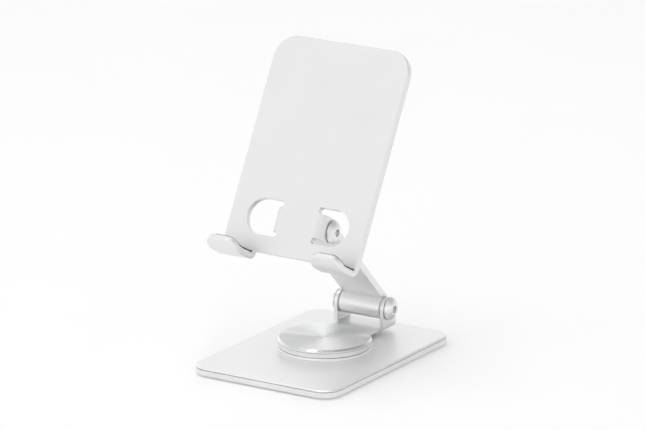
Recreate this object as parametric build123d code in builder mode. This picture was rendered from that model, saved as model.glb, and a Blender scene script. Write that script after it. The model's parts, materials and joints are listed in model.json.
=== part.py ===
from build123d import *
from math import cos, radians, sin
import os

# Phone stand: a weighted base with a turntable, a folding arm and a tilting tray.
# Millimetres. X is to the right, Y to the back and Z up. The origin is the centre of the base
# on the surface that the stand rests on. The model is built with the tray ready for a phone.

# ---------------------------------------------------------------- driving dimensions

BASE_WIDTH = 80.0
BASE_DEPTH = 112.0
BASE_CORNER = 9.0
FOOT_PROUD = 0.8
FOOT_POCKET = 0.4
FOOT_INSET = 4.0
WEIGHT_THICK = 2.75
WEIGHT_EDGE = 0.3
BASE_TAPE_THICK = 0.45
BASE_TAPE_INSET = 0.8
COVER_THICK = 0.8
COVER_CHAMFER = 0.5

TURN_Y = 2.2
TURN_RADIUS = 22.8
RING_THICK = 1.5
RING_EDGE = 0.25
GLIDE_THICK = 0.3
GLIDE_RADIUS = 21.9
SWIVEL_THICK = 2.0
SWIVEL_RADIUS = 22.5
CAP_TAPE_THICK = 0.3
CAP_TAPE_INNER = 12.0
CAP_THICK = 1.6
CAP_CHAMFER = 0.9
CAP_RECESS_RADIUS = 9.0
CAP_RECESS_DEPTH = 0.9

PIVOT_RADIUS = 4.0
PIVOT_HEAD_RADIUS = 7.5
PIVOT_HEAD_THICK = 0.8
PIVOT_FIT = 0.05
SPRING_THICK = 0.3
NUT_THICK = 1.6
NUT_FLATS = 13.0
NUT_POCKET_RADIUS = 8.0
RING_SCREW_CIRCLE = 16.0
RING_SCREW_RADIUS = 1.5
RING_SCREW_HEAD = 2.8
RING_SCREW_COUNT = 3

HINGE_Y = 38.8
HINGE_Z = 17.25
EAR_OUTER = 14.1
EAR_THICK = 1.9
EAR_RADIUS = 5.8
EAR_BEND = 1.0
NECK_HALF = 11.3
NECK_FILLET = 3.0

ARM_LENGTH = 72.8
ARM_ANGLE = 45.0
ARM_THICK = 3.3
BARREL_RADIUS = 5.7
BARREL_HALF = 11.3
UPPER_BARREL_HALF = 9.55
SHOULDER_REACH = 7.6
BUSH_FLANGE = 0.85
BUSH_FLANGE_RADIUS = 5.4
BUSH_RADIUS = 4.0
BUSH_LENGTH = 7.0

PIN_RADIUS = 3.0
PIN_FIT = 0.05
SCREW_RADIUS = 2.0
SCREW_REACH = 20.0
HEAD_RADIUS = 5.6
HEAD_RIM = 0.6
HEAD_HEIGHT = 2.5
HEAD_FLAT = 2.6
HEAD_BULGE = 0.3
SOCKET_FLATS = 3.5
SOCKET_DEPTH = 1.7
HEAD_WASHER_THICK = 0.4
HEAD_WASHER_RADIUS = 4.8

TRAY_LEAN = 28.8
TRAY_WIDTH = 76.0
TRAY_HEIGHT = 107.0
TRAY_THICK = 3.2
TRAY_CORNER = 12.0
TRAY_EDGE = 0.9
TRAY_AXIS_UP = 17.4
TRAY_AXIS_BACK = 10.6
TRAY_EAR_OUTER = 13.65
TRAY_EAR_HALF = 6.0
TRAY_EAR_BEND = 0.8

WINDOW_CENTRE_X = 19.5
WINDOW_RADIUS = 9.0
WINDOW_NOTCH = 1.45

HOOK_ROOT_INNER = 19.2
HOOK_TIP_INNER = 21.0
HOOK_TIP_OUTER = 37.5
HOOK_BEND = 1.0
HOOK_ROOT = 7.4
HOOK_CURVE = 11.5
HOOK_RISE = 32.5
HOOK_LIP = 3.2
HOOK_CORNER = 5.5
HOOK_TAPER = 14.0
HOOK_TAPER_BLEND = 12.0
HOOK_UPPER_EDGE = 0.9
HOOK_UNDER_EDGE = 1.2
PAD_THICK = 0.8
PAD_INSET = 1.0

# ---------------------------------------------------------------- derived levels and places

WEIGHT_BOTTOM = FOOT_PROUD
FOOT_TOP = FOOT_PROUD + FOOT_POCKET
WEIGHT_TOP = WEIGHT_BOTTOM + WEIGHT_THICK
COVER_BOTTOM = WEIGHT_TOP + BASE_TAPE_THICK
COVER_TOP = COVER_BOTTOM + COVER_THICK
RING_TOP = COVER_TOP + RING_THICK
SWIVEL_BOTTOM = RING_TOP + GLIDE_THICK
SWIVEL_TOP = SWIVEL_BOTTOM + SWIVEL_THICK
CAP_BOTTOM = SWIVEL_TOP + CAP_TAPE_THICK
CAP_TOP = CAP_BOTTOM + CAP_THICK
NUT_BOTTOM = FOOT_TOP + 0.1
NUT_TOP = NUT_BOTTOM + NUT_THICK
EAR_INNER = EAR_OUTER - EAR_THICK
TRAY_EAR_INNER = TRAY_EAR_OUTER - TRAY_THICK
TRAY_BEND_X = TRAY_EAR_OUTER - TRAY_THICK - TRAY_EAR_BEND

ARM_RUN = ARM_LENGTH * cos(radians(ARM_ANGLE))
ARM_CLIMB = ARM_LENGTH * sin(radians(ARM_ANGLE))
LOWER_AXIS = Vector(0, HINGE_Y, HINGE_Z)
UPPER_AXIS = Vector(0, HINGE_Y - ARM_RUN, HINGE_Z + ARM_CLIMB)

# local x runs from the lower hinge to the upper one, local y towards the front and down
ARM_PLANE = Plane(origin=LOWER_AXIS, x_dir=UPPER_AXIS - LOWER_AXIS, z_dir=(1, 0, 0))
# local y runs up the tray and local z out of its front face
TRAY_NORMAL = Vector(0, -cos(radians(TRAY_LEAN)), sin(radians(TRAY_LEAN)))
TRAY_UP = Vector(0, sin(radians(TRAY_LEAN)), cos(radians(TRAY_LEAN)))
TRAY_ORIGIN = UPPER_AXIS - TRAY_UP * TRAY_AXIS_UP + TRAY_NORMAL * TRAY_AXIS_BACK
TRAY_FACE = Plane(origin=TRAY_ORIGIN, x_dir=(1, 0, 0), z_dir=TRAY_NORMAL)
# local x runs forward from the tray's face, local y up the tray and local z to the left
TRAY_SIDE = Plane(origin=TRAY_ORIGIN, x_dir=TRAY_NORMAL, z_dir=(-1, 0, 0))

os.makedirs("parts", exist_ok=True)


def save(shape, name):
    shape.label = name
    export_step(shape, f"parts/{name}.step")


def turn_plane(height):
    return Plane(origin=(0, TURN_Y, height))


# ---------------------------------------------------------------- base

FOOT_WIDTH = BASE_WIDTH - 2 * FOOT_INSET
FOOT_DEPTH = BASE_DEPTH - 2 * FOOT_INSET
FOOT_CORNER = BASE_CORNER - FOOT_INSET / 2


def plate(bottom, thick, inset=0.0):
    with BuildPart() as blank:
        with BuildSketch(Plane.XY.offset(bottom)):
            RectangleRounded(BASE_WIDTH - 2 * inset, BASE_DEPTH - 2 * inset, BASE_CORNER - inset)
        extrude(amount=thick)
    return blank.part


with BuildPart() as foot_pad:
    with BuildSketch():
        RectangleRounded(FOOT_WIDTH, FOOT_DEPTH, FOOT_CORNER)
    extrude(amount=FOOT_TOP)
    chamfer(foot_pad.faces().sort_by(Axis.Z)[0].edges(), FOOT_PROUD / 4)
save(foot_pad.part, "foot_pad")

with BuildPart() as weight_plate:
    add(plate(WEIGHT_BOTTOM, WEIGHT_THICK))
    chamfer(weight_plate.faces().sort_by(Axis.Z)[0].edges(), WEIGHT_EDGE)
    with BuildSketch(Plane.XY.offset(WEIGHT_BOTTOM)):
        RectangleRounded(FOOT_WIDTH, FOOT_DEPTH, FOOT_CORNER)
    extrude(amount=FOOT_POCKET, mode=Mode.SUBTRACT)
    with BuildSketch(turn_plane(FOOT_TOP)):
        Circle(NUT_POCKET_RADIUS)
    extrude(amount=NUT_TOP - FOOT_TOP, mode=Mode.SUBTRACT)
    with BuildSketch(turn_plane(FOOT_TOP)):
        Circle(PIVOT_RADIUS)
    extrude(amount=WEIGHT_THICK, mode=Mode.SUBTRACT)
    with Locations(Plane(origin=(0, TURN_Y, FOOT_TOP), x_dir=(1, 0, 0), z_dir=(0, 0, -1))):
        with PolarLocations(RING_SCREW_CIRCLE, RING_SCREW_COUNT):
            CounterSinkHole(RING_SCREW_RADIUS, RING_SCREW_HEAD, depth=WEIGHT_THICK)
save(weight_plate.part, "weight_plate")

with BuildPart() as plate_tape:
    add(plate(WEIGHT_TOP, BASE_TAPE_THICK, BASE_TAPE_INSET))
    with BuildSketch(turn_plane(WEIGHT_TOP)):
        Circle(PIVOT_RADIUS)
        with PolarLocations(RING_SCREW_CIRCLE, RING_SCREW_COUNT):
            Circle(RING_SCREW_RADIUS)
    extrude(amount=BASE_TAPE_THICK, mode=Mode.SUBTRACT)
save(plate_tape.part, "plate_tape")

with BuildPart() as cover_plate:
    add(plate(COVER_BOTTOM, COVER_THICK))
    chamfer(cover_plate.faces().sort_by(Axis.Z)[-1].edges(), COVER_CHAMFER)
    with BuildSketch(turn_plane(COVER_BOTTOM)):
        Circle(PIVOT_RADIUS)
        with PolarLocations(RING_SCREW_CIRCLE, RING_SCREW_COUNT):
            Circle(RING_SCREW_RADIUS)
    extrude(amount=COVER_THICK, mode=Mode.SUBTRACT)
save(cover_plate.part, "cover_plate")

# ---------------------------------------------------------------- turntable

RING_SCREW_TIP = RING_TOP - 0.3

with BuildPart() as turntable_ring:
    with BuildSketch(turn_plane(COVER_TOP)):
        Circle(TURN_RADIUS)
    extrude(amount=RING_THICK)
    chamfer(turntable_ring.edges().filter_by(GeomType.CIRCLE), RING_EDGE)
    with BuildSketch(turn_plane(COVER_TOP)):
        Circle(PIVOT_RADIUS)
    extrude(amount=RING_THICK, mode=Mode.SUBTRACT)
    with BuildSketch(turn_plane(COVER_TOP)):
        with PolarLocations(RING_SCREW_CIRCLE, RING_SCREW_COUNT):
            Circle(RING_SCREW_RADIUS)
    extrude(amount=RING_SCREW_TIP - COVER_TOP, mode=Mode.SUBTRACT)
save(turntable_ring.part, "turntable_ring")

with BuildPart() as ring_screws:
    with BuildSketch(turn_plane(FOOT_TOP)):
        with PolarLocations(RING_SCREW_CIRCLE, RING_SCREW_COUNT):
            Circle(RING_SCREW_RADIUS)
    extrude(amount=RING_SCREW_TIP - FOOT_TOP)
    with BuildSketch(turn_plane(FOOT_TOP)):
        with PolarLocations(RING_SCREW_CIRCLE, RING_SCREW_COUNT):
            Circle(RING_SCREW_HEAD)
    extrude(amount=RING_SCREW_HEAD - RING_SCREW_RADIUS, taper=45)
save(ring_screws.part, "ring_screws")

with BuildPart() as glide_washer:
    with BuildSketch(turn_plane(RING_TOP)):
        Circle(GLIDE_RADIUS)
        Circle(PIVOT_RADIUS + PIVOT_FIT, mode=Mode.SUBTRACT)
    extrude(amount=GLIDE_THICK)
save(glide_washer.part, "glide_washer")

with BuildPart() as pivot_bolt:
    with BuildSketch(turn_plane(NUT_BOTTOM)):
        Circle(PIVOT_RADIUS)
    extrude(amount=SWIVEL_TOP + SPRING_THICK - NUT_BOTTOM)
    with BuildSketch(turn_plane(SWIVEL_TOP + SPRING_THICK)):
        Circle(PIVOT_HEAD_RADIUS)
    extrude(amount=PIVOT_HEAD_THICK)
    chamfer(pivot_bolt.faces().sort_by(Axis.Z)[-1].edges(), PIVOT_HEAD_THICK / 4)
save(pivot_bolt.part, "pivot_bolt")

with BuildPart() as pivot_nut:
    with BuildSketch(turn_plane(NUT_BOTTOM)):
        RegularPolygon(NUT_FLATS / 2, 6, major_radius=False)
        Circle(PIVOT_RADIUS, mode=Mode.SUBTRACT)
    extrude(amount=NUT_THICK)
save(pivot_nut.part, "pivot_nut")

with BuildPart() as pivot_spring:
    with BuildSketch(turn_plane(SWIVEL_TOP)):
        Circle(PIVOT_HEAD_RADIUS - 0.5)
        Circle(PIVOT_RADIUS + PIVOT_FIT, mode=Mode.SUBTRACT)
    extrude(amount=SPRING_THICK)
save(pivot_spring.part, "pivot_spring")

with BuildPart() as cap_tape:
    with BuildSketch(turn_plane(SWIVEL_TOP)):
        Circle(GLIDE_RADIUS)
        Circle(CAP_TAPE_INNER, mode=Mode.SUBTRACT)
    extrude(amount=CAP_TAPE_THICK)
save(cap_tape.part, "cap_tape")

with BuildPart() as turntable_cap:
    with BuildSketch(turn_plane(CAP_BOTTOM)):
        Circle(TURN_RADIUS)
    extrude(amount=CAP_THICK)
    chamfer(turntable_cap.faces().sort_by(Axis.Z)[-1].edges(), CAP_CHAMFER)
    with BuildSketch(turn_plane(CAP_BOTTOM)):
        Circle(CAP_RECESS_RADIUS)
    extrude(amount=CAP_RECESS_DEPTH, mode=Mode.SUBTRACT)
save(turntable_cap.part, "turntable_cap")

# ---------------------------------------------------------------- swivel bracket

EAR_FRONT = HINGE_Y - EAR_RADIUS
EAR_TOP = HINGE_Z + EAR_RADIUS
BRACKET_PLANE = Plane.XZ.offset(-HINGE_Y)


def u_section(half, thick, bend, floor, top):
    """Closed outline of a bent U, open at the top, seen along the hinge's fore-and-aft line."""
    outer = bend + thick
    with BuildLine() as outline:
        Line((-half, top), (-half, floor + outer))
        RadiusArc((-half, floor + outer), (-half + outer, floor), -outer)
        Line((-half + outer, floor), (half - outer, floor))
        RadiusArc((half - outer, floor), (half, floor + outer), -outer)
        Line((half, floor + outer), (half, top))
        Line((half, top), (half - thick, top))
        Line((half - thick, top), (half - thick, floor + outer))
        RadiusArc((half - thick, floor + outer), (half - outer, floor + thick), bend)
        Line((half - outer, floor + thick), (-half + outer, floor + thick))
        RadiusArc((-half + outer, floor + thick), (-half + thick, floor + outer), bend)
        Line((-half + thick, floor + outer), (-half + thick, top))
        Line((-half + thick, top), (-half, top))
    return outline.line


with BuildPart() as swivel_bracket:
    with BuildSketch(BRACKET_PLANE):
        with BuildLine():
            add(u_section(EAR_OUTER, EAR_THICK, EAR_BEND, SWIVEL_BOTTOM, EAR_TOP))
        make_face()
    extrude(amount=EAR_RADIUS, both=True)
    with BuildSketch(Plane.YZ):
        with Locations((HINGE_Y, HINGE_Z)):
            Circle(EAR_RADIUS)
        with Locations((HINGE_Y, (HINGE_Z + SWIVEL_BOTTOM) / 2)):
            Rectangle(2 * EAR_RADIUS, HINGE_Z - SWIVEL_BOTTOM)
    extrude(amount=EAR_OUTER, both=True, mode=Mode.INTERSECT)
    with BuildSketch(Plane.XY.offset(SWIVEL_BOTTOM)) as blank:
        with Locations((0, TURN_Y)):
            Circle(SWIVEL_RADIUS)
        with Locations((0, (TURN_Y + EAR_FRONT) / 2)):
            Rectangle(2 * NECK_HALF, EAR_FRONT - TURN_Y)
        neck_corners = blank.vertices().filter_by_position(Axis.Y, TURN_Y + NECK_FILLET, EAR_FRONT - 1)
        fillet(neck_corners, NECK_FILLET)
    extrude(amount=SWIVEL_THICK)
    with BuildSketch(turn_plane(SWIVEL_BOTTOM)):
        Circle(PIVOT_RADIUS + PIVOT_FIT)
    extrude(amount=SWIVEL_THICK, mode=Mode.SUBTRACT)
    with BuildSketch(Plane.YZ):
        with Locations((HINGE_Y, HINGE_Z)):
            Circle(PIN_RADIUS)
    extrude(amount=EAR_OUTER, both=True, mode=Mode.SUBTRACT)
save(swivel_bracket.part, "swivel_bracket")

# ---------------------------------------------------------------- hinge hardware


def hinge_plane(axis):
    """Plane through a hinge axis: local x along the axis, local y straight up."""
    return Plane(origin=axis, x_dir=(1, 0, 0), z_dir=(0, -1, 0))


def domed_outline(shank_radius, shank_end, seat, side):
    """Half section of a domed head with a shank, for a turned part on the local x axis."""
    rim = seat + side * HEAD_RIM
    crown = seat + side * HEAD_HEIGHT
    shoulder = ((rim + crown) / 2 + side * HEAD_BULGE / 2, (HEAD_RADIUS + HEAD_FLAT) / 2 + HEAD_BULGE / 2)
    with BuildLine() as outline:
        Line((shank_end, 0), (shank_end, shank_radius))
        Line((shank_end, shank_radius), (seat, shank_radius))
        Line((seat, shank_radius), (seat, HEAD_RADIUS))
        Line((seat, HEAD_RADIUS), (rim, HEAD_RADIUS))
        ThreePointArc((rim, HEAD_RADIUS), shoulder, (crown, HEAD_FLAT))
        Line((crown, HEAD_FLAT), (crown, 0))
        Line((crown, 0), (shank_end, 0))
    return outline.line


def domed_part(axis, shank_radius, shank_end, seat, side):
    """Domed head on one outer side of a hinge, with a hex socket in its crown."""
    with BuildPart() as part:
        with BuildSketch(hinge_plane(axis)):
            with BuildLine():
                add(domed_outline(shank_radius, shank_end, seat, side))
            make_face()
        revolve(axis=Axis(axis, (1, 0, 0)))
        crown = seat + side * HEAD_HEIGHT
        with BuildSketch(Plane(origin=axis + Vector(crown, 0, 0), x_dir=(0, 1, 0), z_dir=(side, 0, 0))):
            RegularPolygon(SOCKET_FLATS / 2, 6, major_radius=False)
        extrude(amount=-SOCKET_DEPTH, mode=Mode.SUBTRACT)
    return part.part


def hinge_screw(axis, ear_outer):
    seat = ear_outer + HEAD_WASHER_THICK
    return domed_part(axis, SCREW_RADIUS, seat - SCREW_REACH, seat, 1)


def hinge_sleeve(axis, ear_outer):
    """Internally threaded pin that the arm turns on, with its own domed head on the left."""
    seat = ear_outer + HEAD_WASHER_THICK
    with BuildPart() as part:
        add(domed_part(axis, PIN_RADIUS, ear_outer, -seat, -1))
        with BuildSketch(Plane(origin=axis + Vector(ear_outer, 0, 0), z_dir=(1, 0, 0))):
            Circle(SCREW_RADIUS)
        extrude(amount=-SCREW_REACH, mode=Mode.SUBTRACT)
    return part.part


def side_disc(axis, inner_radius, outer_radius, start, thick, side):
    """Flat ring round a hinge axis, from start outwards on one side."""
    with BuildPart() as part:
        with BuildSketch(Plane(origin=axis + Vector(side * start, 0, 0), z_dir=(side, 0, 0))):
            Circle(outer_radius)
            Circle(inner_radius, mode=Mode.SUBTRACT)
        extrude(amount=thick)
    return part.part


def hinge_bush(axis, barrel_half, side):
    """Flanged bush: the flange stands between the barrel and an ear, the tube lines the bore."""
    with BuildPart() as part:
        add(side_disc(axis, PIN_RADIUS + PIN_FIT, BUSH_FLANGE_RADIUS, barrel_half, BUSH_FLANGE, side))
        add(side_disc(axis, PIN_RADIUS + PIN_FIT, BUSH_RADIUS, barrel_half - BUSH_LENGTH, BUSH_LENGTH, side))
    return part.part


SIDES = {"left": -1, "right": 1}
HINGES = {
    "lower": (LOWER_AXIS, EAR_OUTER, BARREL_HALF),
    "upper": (UPPER_AXIS, TRAY_EAR_OUTER, UPPER_BARREL_HALF),
}

for hinge, (axis, ear_outer, barrel_half) in HINGES.items():
    save(hinge_screw(axis, ear_outer), f"{hinge}_hinge_screw")
    save(hinge_sleeve(axis, ear_outer), f"{hinge}_hinge_sleeve")
    for name, side in SIDES.items():
        save(hinge_bush(axis, barrel_half, side), f"{hinge}_bush_{name}")
        washer = side_disc(axis, SCREW_RADIUS if side > 0 else PIN_RADIUS, HEAD_WASHER_RADIUS, ear_outer,
                           HEAD_WASHER_THICK, side)
        save(washer, f"{hinge}_spring_washer_{name}")

# ---------------------------------------------------------------- arm

with BuildPart() as arm:
    with BuildSketch(ARM_PLANE):
        Circle(BARREL_RADIUS)
        with Locations(((ARM_LENGTH - SHOULDER_REACH) / 2, -BARREL_RADIUS + ARM_THICK / 2)):
            Rectangle(ARM_LENGTH - SHOULDER_REACH, ARM_THICK)
    extrude(amount=BARREL_HALF, both=True)
    with BuildSketch(ARM_PLANE):
        with Locations((ARM_LENGTH, 0)):
            Circle(BARREL_RADIUS)
        with Locations((ARM_LENGTH - SHOULDER_REACH / 2, -BARREL_RADIUS + ARM_THICK / 2)):
            Rectangle(SHOULDER_REACH, ARM_THICK)
    extrude(amount=UPPER_BARREL_HALF, both=True)
    with BuildSketch(ARM_PLANE):
        with Locations((0, 0), (ARM_LENGTH, 0)):
            Circle(PIN_RADIUS + 2 * PIN_FIT)
    extrude(amount=BARREL_HALF, both=True, mode=Mode.SUBTRACT)
    for axis, half in ((LOWER_AXIS, BARREL_HALF), (UPPER_AXIS, UPPER_BARREL_HALF)):
        for side in SIDES.values():
            with BuildSketch(Plane(origin=axis + Vector(side * half, 0, 0), z_dir=(side, 0, 0))):
                Circle(BUSH_RADIUS)
            extrude(amount=-BUSH_LENGTH, mode=Mode.SUBTRACT)
save(arm.part, "arm")

# ---------------------------------------------------------------- tray


def hook_points(depth):
    """Corners of one face of a hook in the tray's side view, depth below its inner surface."""
    rise = radians(HOOK_RISE)
    curve = HOOK_CURVE + depth
    seat = -HOOK_BEND - depth
    foot = (-depth, 0)
    heel = (HOOK_BEND, seat)
    toe = (HOOK_ROOT, seat)
    knee = (HOOK_ROOT + curve * sin(rise), seat + curve * (1 - cos(rise)))
    tip = (knee[0] + HOOK_LIP * cos(rise), knee[1] + HOOK_LIP * sin(rise))
    return foot, heel, toe, knee, tip


def hook_section(top_depth, bottom_depth):
    """Closed outline between two depths of the hook's bent sheet."""
    foot_a, heel_a, toe_a, knee_a, tip_a = hook_points(top_depth)
    foot_b, heel_b, toe_b, knee_b, tip_b = hook_points(bottom_depth)
    with BuildLine() as outline:
        RadiusArc(foot_a, heel_a, -HOOK_BEND - top_depth)
        Line(heel_a, toe_a)
        RadiusArc(toe_a, knee_a, -HOOK_CURVE - top_depth)
        Line(knee_a, tip_a)
        Line(tip_a, tip_b)
        Line(tip_b, knee_b)
        RadiusArc(knee_b, toe_b, HOOK_CURVE + bottom_depth)
        Line(toe_b, heel_b)
        RadiusArc(heel_b, foot_b, HOOK_BEND + bottom_depth)
        Line(foot_b, foot_a)
    return outline.line


def hook_outline(side, inset):
    """A hook seen square to its lip, local x across the tray and local y along the lip to its tip."""
    start = -3 * HOOK_TAPER
    root_inner = side * (HOOK_ROOT_INNER + inset)
    root_outer = side * (TRAY_WIDTH / 2 - inset)
    tip_inner = (side * (HOOK_TIP_INNER + inset), -inset)
    tip_outer = (side * (HOOK_TIP_OUTER - inset), -inset)
    with BuildSketch() as outline:
        with BuildLine():
            Polyline((root_inner, start), (root_inner, -HOOK_TAPER), tip_inner)
            Line(tip_inner, tip_outer)
            Polyline(tip_outer, (root_outer, -HOOK_TAPER), (root_outer, start), (root_inner, start))
        make_face()
        fillet(outline.vertices().group_by(Axis.Y)[-1], HOOK_CORNER - inset)
        fillet(outline.vertices().group_by(Axis.Y)[1], HOOK_TAPER_BLEND)
    return outline.sketch


def hook_solid(side, top_depth, bottom_depth, inset):
    """One hook's bent sheet between two depths, with its corners rounded in the lip's own plane."""
    rise = radians(HOOK_RISE)
    lip_dir = TRAY_NORMAL * cos(rise) + TRAY_UP * sin(rise)
    tip = hook_points(0)[4]
    tip_point = TRAY_ORIGIN + TRAY_NORMAL * tip[0] + TRAY_UP * tip[1]
    lip_plane = Plane(origin=tip_point, x_dir=(1, 0, 0), z_dir=Vector(1, 0, 0).cross(lip_dir))
    with BuildPart() as part:
        with BuildSketch(TRAY_SIDE):
            with BuildLine():
                add(hook_section(top_depth, bottom_depth))
            make_face()
        extrude(amount=TRAY_WIDTH / 2, both=True)
        with BuildSketch(lip_plane):
            add(hook_outline(side, inset))
        extrude(amount=TRAY_HEIGHT, both=True, mode=Mode.INTERSECT)
    return part.part


def face_rim(solid, facing):
    """Outer edges of a hook's upper (facing 1) or under (facing -1) surface, its root left out."""
    skin = ShapeList()
    for face in solid.faces():
        in_front = (face.center() - TRAY_ORIGIN).dot(TRAY_NORMAL) > 0 or facing < 0
        if in_front and facing * face.normal_at().dot(TRAY_UP) > 0.6:
            skin.append(face)
    rim = ShapeList()
    for edge in skin.edges():
        shared = [face for face in skin if edge in face.edges()]
        at_root = all(abs((point - TRAY_ORIGIN).dot(TRAY_UP)) < 0.01 for point in (edge @ 0, edge @ 1))
        if len(shared) == 1 and not at_root:
            rim.append(edge)
    return rim


def hook(side):
    """A hook with its edges rounded, more on the underside than on the side towards the phone."""
    with BuildPart() as part:
        add(hook_solid(side, 0, TRAY_THICK, 0))
        fillet(face_rim(part, 1), HOOK_UPPER_EDGE)
        fillet(face_rim(part, -1), HOOK_UNDER_EDGE)
    return part.part


def window(side):
    """One D-shaped window, with a relief notch at each end of the ear's bend line."""
    low = TRAY_AXIS_UP - WINDOW_RADIUS
    high = TRAY_AXIS_UP + WINDOW_RADIUS
    notch_x = TRAY_BEND_X + WINDOW_NOTCH
    flat = WINDOW_CENTRE_X - notch_x
    with BuildSketch() as outline:
        with Locations((side * WINDOW_CENTRE_X, TRAY_AXIS_UP)):
            Circle(WINDOW_RADIUS)
        with Locations((side * (notch_x + flat / 2), TRAY_AXIS_UP)):
            Rectangle(flat, 2 * WINDOW_RADIUS)
        with Locations((side * notch_x, low + WINDOW_NOTCH), (side * notch_x, high - WINDOW_NOTCH)):
            Circle(WINDOW_NOTCH)
        with Locations((side * (TRAY_BEND_X + WINDOW_NOTCH / 2), TRAY_AXIS_UP)):
            Rectangle(WINDOW_NOTCH, 2 * TRAY_EAR_HALF)
    return outline.sketch


EAR_SECTION = Plane(origin=TRAY_ORIGIN + TRAY_UP * TRAY_AXIS_UP, x_dir=(1, 0, 0), z_dir=TRAY_UP)
EAR_BACK = TRAY_AXIS_BACK + TRAY_EAR_HALF

with BuildPart() as ears:
    with BuildSketch(EAR_SECTION):
        with BuildLine():
            add(u_section(TRAY_EAR_OUTER, TRAY_THICK, TRAY_EAR_BEND, 0, EAR_BACK))
        make_face()
    extrude(amount=TRAY_EAR_HALF, both=True)
    with BuildSketch(TRAY_SIDE):
        with Locations((-TRAY_AXIS_BACK, TRAY_AXIS_UP)):
            Circle(TRAY_EAR_HALF)
        with Locations((-TRAY_AXIS_BACK / 2, TRAY_AXIS_UP)):
            Rectangle(TRAY_AXIS_BACK, 2 * TRAY_EAR_HALF)
    extrude(amount=TRAY_EAR_OUTER, both=True, mode=Mode.INTERSECT)
    with BuildSketch(TRAY_SIDE):
        with Locations((-TRAY_AXIS_BACK, TRAY_AXIS_UP)):
            Circle(PIN_RADIUS)
    extrude(amount=TRAY_EAR_OUTER, both=True, mode=Mode.SUBTRACT)

with BuildPart() as tray:
    with BuildSketch(TRAY_FACE) as sheet:
        with Locations((0, TRAY_HEIGHT / 2)):
            Rectangle(TRAY_WIDTH, TRAY_HEIGHT)
        fillet(sheet.vertices().group_by(Axis.Y)[-1], TRAY_CORNER)
        for side in SIDES.values():
            add(window(side), mode=Mode.SUBTRACT)
    extrude(amount=-TRAY_THICK)
    front = tray.faces().sort_by(Axis(TRAY_ORIGIN, TRAY_NORMAL))[-1]
    front_rim = front.outer_wire().edges().sort_by(Axis(TRAY_ORIGIN, TRAY_UP))
    fillet(front_rim[1:], TRAY_EDGE)
    add(ears.part)
    for side in SIDES.values():
        add(hook(side))
save(tray.part, "tray")

for name, side in SIDES.items():
    save(hook_solid(side, -PAD_THICK, 0, PAD_INSET), f"hook_pad_{name}")
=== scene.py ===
import json
import math

import bmesh
import bpy
from mathutils import Matrix, Vector


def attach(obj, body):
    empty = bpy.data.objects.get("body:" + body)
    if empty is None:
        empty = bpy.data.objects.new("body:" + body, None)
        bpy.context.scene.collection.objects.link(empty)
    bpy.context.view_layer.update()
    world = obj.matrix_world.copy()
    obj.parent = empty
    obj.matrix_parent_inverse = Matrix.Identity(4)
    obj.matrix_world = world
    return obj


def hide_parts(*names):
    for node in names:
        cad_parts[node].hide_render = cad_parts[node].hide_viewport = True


# Looks of the phone stand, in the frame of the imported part. Blender works in metres, so the sizes of the
# pads, the foot sheet and the camera's place, which are in millimetres as in the CAD, are multiplied by MM.

MM = 0.001
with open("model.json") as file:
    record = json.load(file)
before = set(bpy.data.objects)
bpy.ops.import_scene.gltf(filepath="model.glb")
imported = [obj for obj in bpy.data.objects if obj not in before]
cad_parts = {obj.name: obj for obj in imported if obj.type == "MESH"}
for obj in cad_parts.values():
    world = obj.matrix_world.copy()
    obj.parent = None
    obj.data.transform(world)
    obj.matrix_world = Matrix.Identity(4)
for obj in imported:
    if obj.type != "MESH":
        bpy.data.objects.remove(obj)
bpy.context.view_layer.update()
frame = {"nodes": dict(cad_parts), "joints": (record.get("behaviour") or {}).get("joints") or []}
hinges = {joint["name"]: Vector(joint["pos_m"]) for joint in frame["joints"]}

# ---------------------------------------------------------------- node helpers


def node_of(tree, kind):
    """The node of one kind that a new node tree already has."""
    return next(node for node in tree.nodes if node.type == kind)


def map_range(tree, value, source, target):
    """A value carried from the source range to the target range, and held at its ends."""
    node = tree.nodes.new("ShaderNodeMapRange")
    for socket, limit in zip(("From Min", "From Max", "To Min", "To Max"), (*source, *target)):
        node.inputs[socket].default_value = limit
    tree.links.new(value, node.inputs["Value"])
    return node.outputs["Result"]


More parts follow.
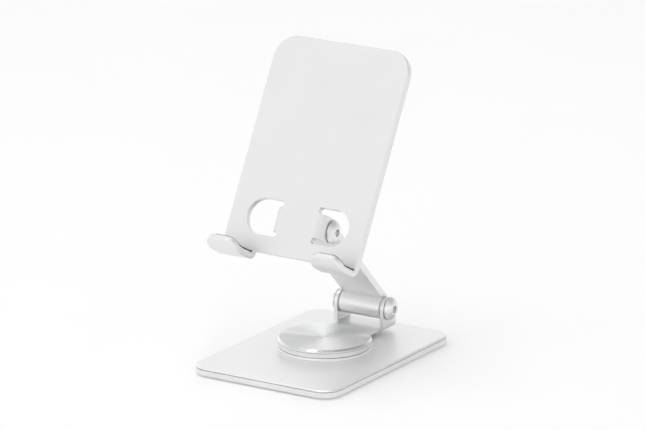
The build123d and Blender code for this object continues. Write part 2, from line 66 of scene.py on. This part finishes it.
class Graph:
    """A material's node tree, with short names for the nodes that the looks share."""

    def __init__(self, name, color, metallic, roughness, **sockets):
        self.material = bpy.data.materials.new(name)
        self.material.use_nodes = True
        self.material.diffuse_color = (*color, 1.0)
        self.tree = self.material.node_tree
        self.shader = node_of(self.tree, "BSDF_PRINCIPLED")
        self.shader.inputs["Base Color"].default_value = (*color, 1.0)
        self.shader.inputs["Metallic"].default_value = metallic
        self.shader.inputs["Roughness"].default_value = roughness
        for socket, value in sockets.items():
            self.shader.inputs[socket.replace("_", " ")].default_value = value
        self.coords = self.new("TexCoord").outputs["Object"]

    def new(self, kind):
        return self.tree.nodes.new("ShaderNode" + kind)

    def link(self, source, target):
        self.tree.links.new(source, target)

    def mapped(self, scale, centre=(0, 0, 0)):
        """Object coordinates measured from centre and stretched by scale."""
        node = self.new("Mapping")
        node.inputs["Scale"].default_value = scale
        node.inputs["Location"].default_value = [-a * b for a, b in zip(centre, scale)]
        self.link(self.coords, node.inputs["Vector"])
        return node.outputs["Vector"]

    def noise(self, vector, scale, detail=2.0, rough=0.5):
        """Noise with about scale cells to a unit of the vector."""
        node = self.new("TexNoise")
        node.inputs["Scale"].default_value = scale
        node.inputs["Detail"].default_value = detail
        node.inputs["Roughness"].default_value = rough
        self.link(vector, node.inputs["Vector"])
        return node.outputs["Fac"]

    def spread(self, value, low, high, source=(0.3, 0.7)):
        """A value spread from low to high. Noise keeps mostly to the source range given here."""
        return map_range(self.tree, value, source, (low, high))

    def math(self, operation, *values):
        node = self.new("Math")
        node.operation = operation
        for socket, value in zip(node.inputs, values):
            if isinstance(value, float):
                socket.default_value = value
            else:
                self.link(value, socket)
        return node.outputs["Value"]

    def mix(self, factor, first, second):
        """From the first colour, at factor 0, to the second, at factor 1. Either may be a socket."""
        node = self.new("Mix")
        node.data_type = "RGBA"
        self.link(factor, node.inputs[0])
        for index, value in ((6, first), (7, second)):
            if isinstance(value, tuple):
                node.inputs[index].default_value = (*value, 1.0)
            else:
                self.link(value, node.inputs[index])
        return node.outputs[2]

    def bump(self, height, strength, distance):
        node = self.new("Bump")
        node.inputs["Strength"].default_value = strength
        node.inputs["Distance"].default_value = distance
        self.link(height, node.inputs["Height"])
        return node.outputs["Normal"]

    def set(self, **sockets):
        """Links sources to the shader's sockets and returns the finished material."""
        for socket, source in sockets.items():
            self.link(source, self.shader.inputs[socket.replace("_", " ")])
        return self.material


def grey(value):
    return (value, value, value)


def scaled(color, factor):
    return tuple(c * factor for c in color)


# ---------------------------------------------------------------- materials

# Noise scales of the finishes, in cells to a metre.
BLAST_GRAIN = 4200.0
FILM_CLOUD = 38.0
TURNED_GROOVE = 2600.0
TURNED_BAND = 420.0
STEEL_CLOUD = 60.0
PLASTIC_PATCH = 120.0
FINE_GRAIN = 5200.0
FOAM_GRAIN = 2600.0
EDGE_LAY = (160.0, 160.0, 5200.0)  # scratches run level, round the edge of a plate
PIN_LAY = (900.0, 5200.0, 5200.0)  # short scratches along x, the direction of the hinges' pins

ANODISED_METALLIC = 0.8  # the oxide film hides part of the metal
RIM_NORMAL = (0.85, 0.97)  # upward part of the normal, from the turned disc's chamfer to its face


def blasted_aluminium(name, color, roughness):
    """Bead-blasted and anodised sheet: a fine even grain, and a broad faint unevenness of the film."""
    g = Graph(name, color, ANODISED_METALLIC, roughness)
    grain = g.noise(g.coords, BLAST_GRAIN, detail=2.0, rough=0.6)
    film = g.noise(g.coords, FILM_CLOUD, detail=3.0, rough=0.55)
    tone = g.mix(g.spread(film, 0.0, 1.0), scaled(color, 0.985), scaled(color, 1.012))
    fleck = g.mix(g.spread(grain, 0.0, 0.35), tone, scaled(color, 0.93))
    rough = g.math("ADD", g.spread(film, roughness - 0.03, roughness + 0.03), g.spread(grain, -0.03, 0.03))
    return g.set(Base_Color=fleck, Roughness=rough, Normal=g.bump(grain, strength=0.12, distance=0.04 * MM))


def turned_aluminium(name, color, centre):
    """Face-turned disc: circular tool marks that spread the light into wedges, and a bright cut rim."""
    g = Graph(name, color, metallic=1.0, roughness=0.3, Anisotropic=0.95)
    around = g.new("Tangent")
    around.direction_type = "RADIAL"
    around.axis = "Z"
    length = g.new("VectorMath")
    length.operation = "LENGTH"
    g.link(g.mapped((1, 1, 0), centre), length.inputs[0])
    radius = g.new("CombineXYZ")
    g.link(length.outputs["Value"], radius.inputs["X"])
    groove = g.noise(radius.outputs["Vector"], TURNED_GROOVE, detail=3.0, rough=0.6)
    band = g.noise(radius.outputs["Vector"], TURNED_BAND, detail=2.0, rough=0.5)
    split = g.new("SeparateXYZ")
    g.link(g.new("NewGeometry").outputs["Normal"], split.inputs["Vector"])
    face = g.spread(split.outputs["Z"], 0.0, 1.0, RIM_NORMAL)
    tone = g.mix(g.spread(band, 0.0, 1.0), scaled(color, 0.94), color)
    tone = g.mix(g.spread(groove, 0.0, 0.6), tone, scaled(color, 0.9))
    rough = g.math("ADD", g.math("MULTIPLY", face, 0.2), g.spread(groove, 0.12, 0.18))
    normal = g.bump(groove, strength=0.02, distance=0.01 * MM)
    return g.set(Base_Color=tone, Roughness=rough, Tangent=around.outputs["Tangent"], Normal=normal)


def satin_steel(name, color, roughness, lay):
    """Ground and plated steel: short scratches along the lay's least axes, and a slow change of tone."""
    g = Graph(name, color, 1.0, roughness)
    scratch = g.noise(g.mapped(lay), 1.0, detail=3.0, rough=0.6)
    cloud = g.noise(g.coords, STEEL_CLOUD, detail=3.0)
    tone = g.mix(g.spread(cloud, 0.0, 1.0), scaled(color, 0.95), scaled(color, 1.02))
    tone = g.mix(g.spread(scratch, 0.0, 0.5), tone, scaled(color, 0.88))
    rough = g.spread(scratch, roughness - 0.06, roughness + 0.06)
    return g.set(Base_Color=tone, Roughness=rough, Normal=g.bump(scratch, strength=0.1, distance=0.03 * MM))


def plastic(name, color, roughness, grain_scale, grain_depth, **sockets):
    """Moulded plastic or rubber: a fine grain, with slightly paler and rougher patches."""
    g = Graph(name, color, 0.0, roughness, **sockets)
    grain = g.noise(g.coords, grain_scale, detail=3.0, rough=0.55)
    patch = g.noise(g.coords, PLASTIC_PATCH, detail=2.0)
    tone = g.mix(g.spread(patch, 0.0, 1.0), scaled(color, 0.8), scaled(color, 1.35))
    rough = g.math("ADD", g.spread(patch, roughness - 0.05, roughness + 0.06), g.spread(grain, -0.04, 0.04))
    return g.set(Base_Color=tone, Roughness=rough, Normal=g.bump(grain, strength=0.35, distance=grain_depth))


anodised = blasted_aluminium("anodised_sheet", grey(0.825), roughness=0.44)
# The base's copy of the anodised finish is painted lighter than the tray's and the weight plate's. It is
# painted light for the brightly lit top of the base, and the turntable ring uses it too.
anodised_base_painted_lit = blasted_aluminium("anodised_base_painted_lit", grey(0.94), roughness=0.42)
barrel = blasted_aluminium("anodised_arm", grey(0.84), roughness=0.34)
turned = turned_aluminium("turned_disc", (0.86, 0.865, 0.87), centre=hinges["turntable"])
plate_steel = satin_steel("plate_steel", (0.84, 0.84, 0.845), roughness=0.34, lay=EDGE_LAY)
head_steel = satin_steel("head_steel", (0.87, 0.87, 0.865), roughness=0.36, lay=PIN_LAY)
bush_grey = plastic("bush_grey", grey(0.4), 0.42, FINE_GRAIN, 0.03 * MM)
tape_grey = plastic("tape_grey", (0.66, 0.66, 0.665), 0.8, FOAM_GRAIN, 0.12 * MM)
silicone = plastic("silicone", (0.02, 0.02, 0.021), 0.58, FINE_GRAIN, 0.05 * MM, Sheen_Weight=0.25,
                   Specular_IOR_Level=0.4)

LOOKS = {
    anodised: ("tray",),
    anodised_base_painted_lit: ("cover_plate", "turntable_ring"),
    barrel: ("arm", "swivel_bracket"),
    turned: ("turntable_cap",),
    plate_steel: ("weight_plate",),
    head_steel: (
        "lower_hinge_screw", "lower_hinge_sleeve", "upper_hinge_screw", "upper_hinge_sleeve", "ring_screws",
        "pivot_bolt", "pivot_nut", "pivot_spring", "lower_spring_washer_left", "lower_spring_washer_right",
        "upper_spring_washer_left", "upper_spring_washer_right",
    ),
    bush_grey: ("lower_bush_left", "lower_bush_right", "upper_bush_left", "upper_bush_right", "glide_washer"),
    tape_grey: ("plate_tape", "cap_tape"),
    silicone: ("foot_pad", "hook_pad_left", "hook_pad_right"),
}
for material, nodes in LOOKS.items():
    for node in nodes:
        mesh = frame["nodes"][node].data
        mesh.materials.clear()
        mesh.materials.append(material)

# ---------------------------------------------------------------- soft pieces

# The tray as it is built, in millimetres.
ARM_LENGTH = 72.8
ARM_RISE = math.radians(45)
TRAY_LEAN = math.radians(28.8)
TRAY_AXIS_UP = 17.4
TRAY_AXIS_BACK = 10.6
TRAY_NORMAL = Vector((0, -math.cos(TRAY_LEAN), math.sin(TRAY_LEAN)))
TRAY_UP = Vector((0, math.sin(TRAY_LEAN), math.cos(TRAY_LEAN)))
ARM_ALONG = Vector((0, -math.cos(ARM_RISE), math.sin(ARM_RISE)))
UPPER_AXIS = hinges["arm_hinge"] / MM + ARM_ALONG * ARM_LENGTH
TRAY_ORIGIN = (UPPER_AXIS - TRAY_UP * TRAY_AXIS_UP + TRAY_NORMAL * TRAY_AXIS_BACK) * MM

# A hook in the tray's side view, where a place is (out from the tray's front, up the tray).
HOOK_BEND = 1.0
HOOK_ROOT = 7.4
HOOK_CURVE = 11.5
HOOK_LIP = 3.2
HOOK_RISE = math.radians(32.5)
LIP_ALONG = (math.cos(HOOK_RISE), math.sin(HOOK_RISE))
HOOK_KNEE = (HOOK_ROOT + HOOK_CURVE * LIP_ALONG[1], HOOK_CURVE * (1 - LIP_ALONG[0]) - HOOK_BEND)
HOOK_TIP = (HOOK_KNEE[0] + HOOK_LIP * LIP_ALONG[0], HOOK_KNEE[1] + HOOK_LIP * LIP_ALONG[1])

# Its sides, as distances from the middle of the tray, and its outline in the plane of the lip.
ROOT_INNER = 19.2
ROOT_OUTER = 38.0
TIP_INNER = 21.0
TIP_OUTER = 37.5
HOOK_TAPER = 14.0
HOOK_CORNER = 5.5

PAD_THICK = 0.8
PAD_INSET = 1.0
PAD_EDGE = 0.3
PAD_EDGE_SHARE = 0.62  # of the full thickness, left at the pad's very edge
PAD_ROOT_SHIFT = 0.15  # the root's edge is rounded as if it were this far in
PAD_STEP = 0.7
PAD_COLUMNS = 28
BEND_STEPS = 4
LIP_SHARES = (0.25, 0.45, 0.6, 0.72, 0.82, 0.89, 0.94, 0.975, 0.993, 1.0)  # closest where the tip rounds off

FOOT_WIDTH = 72.0
FOOT_DEPTH = 104.0
FOOT_CORNER = 7.0
FOOT_THICK = 1.2
CORNER_STEPS = 10
SHARP_ANGLE = math.radians(50)

# Section of the foot sheet from its edge inwards, as (distance in from the edge, height).
FOOT_EDGE = [(0.0, FOOT_THICK), (0.0, 0.5), (0.03, 0.3), (0.12, 0.14), (0.26, 0.04), (0.45, 0.0)]
FOOT_CHANNEL = [(2.6, 0.0), (2.75, 0.05), (2.9, 0.16), (3.2, 0.2), (3.5, 0.16), (3.65, 0.05), (3.8, 0.0)]
FOOT_MIDDLE = [(6.0, 0.0)]


def hook_profile():
    """Places and upward normals along a hook's upper surface, from the tray's front to the pad's end."""
    points = []
    for k in range(BEND_STEPS + 1):
        a = math.pi / 2 * k / BEND_STEPS
        points.append(((HOOK_BEND * (1 - math.cos(a)), -HOOK_BEND * math.sin(a)), (math.cos(a), math.sin(a))))
    seat = HOOK_ROOT - HOOK_BEND
    count = round(seat / PAD_STEP)
    for k in range(1, count):
        points.append(((HOOK_BEND + seat * k / count, -HOOK_BEND), (0, 1)))
    count = round(HOOK_CURVE * HOOK_RISE / PAD_STEP)
    for k in range(count + 1):
        a = HOOK_RISE * k / count
        place = (HOOK_ROOT + HOOK_CURVE * math.sin(a), HOOK_CURVE * (1 - math.cos(a)) - HOOK_BEND)
        points.append((place, (-math.sin(a), math.cos(a))))
    for share in LIP_SHARES:
        d = (HOOK_LIP - PAD_INSET) * share
        place = (HOOK_KNEE[0] + LIP_ALONG[0] * d, HOOK_KNEE[1] + LIP_ALONG[1] * d)
        points.append((place, (-LIP_ALONG[1], LIP_ALONG[0])))
    return points


def pad_edges(place):
    """Inner and outer side of a pad, as distances from the middle of the tray, at one place along it."""
    y = (place[0] - HOOK_TIP[0]) * LIP_ALONG[0] + (place[1] - HOOK_TIP[1]) * LIP_ALONG[1]
    share = min(1.0, max(0.0, (y + HOOK_TAPER) / (HOOK_TAPER - PAD_INSET)))
    inner = ROOT_INNER + (TIP_INNER - ROOT_INNER) * share + PAD_INSET
    outer = ROOT_OUTER + (TIP_OUTER - ROOT_OUTER) * share - PAD_INSET
    radius = HOOK_CORNER - PAD_INSET
    into = y + PAD_INSET + radius
    if into > 0:
        cut = radius - math.sqrt(max(0.0, radius * radius - into * into))
        inner, outer = inner + cut, outer - cut
    return inner, outer


def thickness_share(distance):
    """Share of the full thickness at a distance in from a pad's edge, for a quarter-round edge."""
    t = min(1.0, max(0.0, distance / PAD_EDGE))
    return PAD_EDGE_SHARE + (1 - PAD_EDGE_SHARE) * math.sqrt(1 - (1 - t) ** 2)


def travelled(profile):
    """Distance along a profile from its start to each of its points."""
    lengths = [0.0]
    for (a, _), (b, _) in zip(profile, profile[1:]):
        lengths.append(lengths[-1] + math.hypot(b[0] - a[0], b[1] - a[1]))
    return lengths


def hook_pad(side):
    """Silicone strip bonded into a hook: it follows the bend and the lip, with soft rounded edges."""
    profile = hook_profile()
    lengths = travelled(profile)
    bm = bmesh.new()
    top, under = [], []
    for (place, normal), s in zip(profile, lengths):
        inner, outer = pad_edges(place)
        base = TRAY_ORIGIN + (TRAY_NORMAL * place[0] + TRAY_UP * place[1]) * MM
        out = TRAY_NORMAL * normal[0] + TRAY_UP * normal[1]
        row_top, row_under = [], []
        for k in range(PAD_COLUMNS + 1):
            u = 0.5 - 0.5 * math.cos(math.pi * k / PAD_COLUMNS)
            x = inner + (outer - inner) * u
            nearest = min(x - inner, outer - x, lengths[-1] - s, s + PAD_ROOT_SHIFT)
            height = PAD_THICK * thickness_share(nearest) * MM
            across = Vector((side * x * MM, 0, 0))
            row_top.append(bm.verts.new(base + across + out * height))
            row_under.append(bm.verts.new(base + across))
        top.append(row_top)
        under.append(row_under)
    last = len(profile) - 1
    for r in range(last):
        for k in range(PAD_COLUMNS):
            bm.faces.new((top[r][k], top[r][k + 1], top[r + 1][k + 1], top[r + 1][k]))
            bm.faces.new((under[r][k], under[r + 1][k], under[r + 1][k + 1], under[r][k + 1]))
        for k in (0, PAD_COLUMNS):
            bm.faces.new((top[r][k], top[r + 1][k], under[r + 1][k], under[r][k]))
    for k in range(PAD_COLUMNS):
        for r in (0, last):
            bm.faces.new((top[r][k], under[r][k], under[r][k + 1], top[r][k + 1]))
    return bm


def rounded_outline(width, depth, radius):
    """Points round a rectangle with rounded corners, centred on the origin."""
    points = []
    for cx, cy, start in ((1, 1, 0), (-1, 1, 90), (-1, -1, 180), (1, -1, 270)):
        for k in range(CORNER_STEPS + 1):
            a = math.radians(start + 90 * k / CORNER_STEPS)
            points.append((cx * (width / 2 - radius) + radius * math.cos(a),
                           cy * (depth / 2 - radius) + radius * math.sin(a)))
    return points


def foot_sheet():
    """Silicone foot sheet with rolled lower edges and a shallow moulded channel just inside them."""
    bm = bmesh.new()
    loops = []
    for inset, z in FOOT_EDGE + FOOT_CHANNEL + FOOT_MIDDLE:
        outline = rounded_outline(FOOT_WIDTH - 2 * inset, FOOT_DEPTH - 2 * inset, FOOT_CORNER - inset)
        loops.append([bm.verts.new((x * MM, y * MM, z * MM)) for x, y in outline])
    for outer, inner in zip(loops, loops[1:]):
        n = len(outer)
        for k in range(n):
            bm.faces.new((outer[k], outer[(k + 1) % n], inner[(k + 1) % n], inner[k]))
    bm.faces.new(loops[-1])
    bm.faces.new(loops[0][::-1])
    return bm


def placed(name, data):
    """A new object in the scene, for a mesh, a lamp or a camera."""
    made = bpy.data.objects.new(name, data)
    bpy.context.scene.collection.objects.link(made)
    return made


def mesh_from(name, bm, material):
    mesh = bpy.data.meshes.new(name)
    bm.to_mesh(mesh)
    bm.free()
    mesh.materials.append(material)
    return mesh


def soft_piece(name, bm, body, node):
    """A silicone piece that rides on a body and stands for one of its CAD nodes."""
    bmesh.ops.recalc_face_normals(bm, faces=bm.faces)
    mesh = mesh_from(name, bm, silicone)
    for polygon in mesh.polygons:
        polygon.use_smooth = True
    mesh.set_sharp_from_angle(angle=SHARP_ANGLE)
    piece = placed(name, mesh)
    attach(piece, body)
    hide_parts(node)


soft_piece("pad_left", hook_pad(-1), "tray", "hook_pad_left")
soft_piece("pad_right", hook_pad(1), "tray", "hook_pad_right")
soft_piece("foot_sheet", foot_sheet(), "base", "foot_pad")

# ---------------------------------------------------------------- floor, light and camera

# The camera's own axes, and its place along them in millimetres, from a point CAMERA_BASE above the origin.
CAMERA_RIGHT = Vector((0.8450, 0.5348, 0.0))
CAMERA_UP = Vector((-0.1493, 0.2359, 0.9603))
CAMERA_BACK = Vector((0.5135, -0.8114, 0.2791))
CAMERA_PLACE = (0.204, 68.39, 2699.8)
CAMERA_BASE = 0.8
CAMERA_LENS = 312.7
CAMERA_SENSOR = 36.0

FRONT = Vector((CAMERA_RIGHT.y, -CAMERA_RIGHT.x, 0.0))  # level, from the stand towards the camera
ABOVE = Vector((0, 0, 1))
LAMP_TARGET = ABOVE * 0.05
FLOOR_HALF = 5.0
FLOOR_DROP = 0.02 * MM
FLOOR_GLOW = 0.16
FLOOR_CLOUD = 14.0

# The dome's strength by the upward part of the direction, then the dimmer patch of it, which lies high up to
# the camera's right, as a factor by the cosine of the angle from the patch's middle.
DOME_RISE = (-0.1, 0.9)
DOME_STRENGTH = (1.4, 0.6)
PATCH_MIDDLE = (CAMERA_RIGHT * 0.72 - FRONT * 0.27 + ABOVE * 0.64).normalized()
PATCH_COSINE = (0.55, 1.0)
PATCH_FACTOR = (1.0, 0.55)


def turned_to(obj, right, up, back):
    """Turns a camera or lamp so that its own axes are right, up and back."""
    obj.rotation_mode = "QUATERNION"
    obj.rotation_quaternion = Matrix((right, up, back)).transposed().to_quaternion()


def floor_paper():
    """White paper that glows a little and is clear from below, so that the underside can be seen."""
    g = Graph("floor_paper", grey(0.93), metallic=0.0, roughness=0.8, Specular_IOR_Level=0.2)
    fibre = g.noise(g.coords, FLOOR_CLOUD, detail=3.0)
    tone = g.mix(g.spread(fibre, 0.0, 1.0), grey(0.925), grey(0.935))
    g.shader.inputs["Emission Color"].default_value = (*grey(1.0), 1.0)
    g.shader.inputs["Emission Strength"].default_value = FLOOR_GLOW
    one_sided = g.new("MixShader")
    g.link(g.new("NewGeometry").outputs["Backfacing"], one_sided.inputs["Fac"])
    g.link(g.shader.outputs["BSDF"], one_sided.inputs[1])
    g.link(g.new("BsdfTransparent").outputs["BSDF"], one_sided.inputs[2])
    g.link(one_sided.outputs["Shader"], node_of(g.tree, "OUTPUT_MATERIAL").inputs["Surface"])
    return g.set(Base_Color=tone)


def floor():
    bm = bmesh.new()
    bmesh.ops.create_grid(bm, x_segments=2, y_segments=2, size=FLOOR_HALF)
    plane = placed("floor", mesh_from("floor", bm, floor_paper()))
    plane.location.z = -FLOOR_DROP


def softbox(name, right, front, height, across, along, power):
    """Rectangular lamp over the stand: right and front are seen from the camera, along is its depth."""
    data = bpy.data.lights.new(name, "AREA")
    data.shape = "RECTANGLE"
    data.size = across
    data.size_y = along
    data.energy = power
    lamp = placed(name, data)
    lamp.location = CAMERA_RIGHT * right + FRONT * front + ABOVE * height
    back = (lamp.location - LAMP_TARGET).normalized()
    side = FRONT.cross(back).normalized()
    turned_to(lamp, side, back.cross(side), back)


def studio_dome():
    """A white dome, bright at the horizon, and dimmer towards the zenith and in one patch of it."""
    world = bpy.data.worlds.new("studio")
    bpy.context.scene.world = world
    world.use_nodes = True
    tree = world.node_tree
    sky = tree.nodes.new("ShaderNodeTexCoord").outputs["Generated"]
    split = tree.nodes.new("ShaderNodeSeparateXYZ")
    tree.links.new(sky, split.inputs["Vector"])
    patch = tree.nodes.new("ShaderNodeVectorMath")
    patch.operation = "DOT_PRODUCT"
    patch.inputs[1].default_value = PATCH_MIDDLE
    tree.links.new(sky, patch.inputs[0])
    strength = tree.nodes.new("ShaderNodeMath")
    strength.operation = "MULTIPLY"
    tree.links.new(map_range(tree, split.outputs["Z"], DOME_RISE, DOME_STRENGTH), strength.inputs[0])
    tree.links.new(map_range(tree, patch.outputs["Value"], PATCH_COSINE, PATCH_FACTOR), strength.inputs[1])
    background = node_of(tree, "BACKGROUND")
    background.inputs["Color"].default_value = (*grey(1.0), 1.0)
    tree.links.new(strength.outputs["Value"], background.inputs["Strength"])


def camera():
    data = bpy.data.cameras.new("camera")
    data.sensor_width = CAMERA_SENSOR
    data.lens = CAMERA_LENS
    data.clip_start = 0.1
    data.clip_end = 50.0
    cam = placed("camera", data)
    turned_to(cam, CAMERA_RIGHT, CAMERA_UP, CAMERA_BACK)
    right, up, back = CAMERA_PLACE
    place = CAMERA_RIGHT * right + CAMERA_UP * up + CAMERA_BACK * back + ABOVE * CAMERA_BASE
    cam.location = place * MM
    bpy.context.scene.camera = cam


camera()
floor()
studio_dome()
softbox("strip_top", right=0.24, front=0.1, height=1.8, across=0.12, along=1.7, power=3.2)
softbox("strip_left", right=-0.62, front=0.1, height=1.7, across=0.2, along=1.7, power=4.0)
softbox("key_front", right=-1.5, front=0.5, height=1.1, across=0.9, along=0.9, power=0.35)
bpy.context.scene.view_settings.view_transform = "Standard"
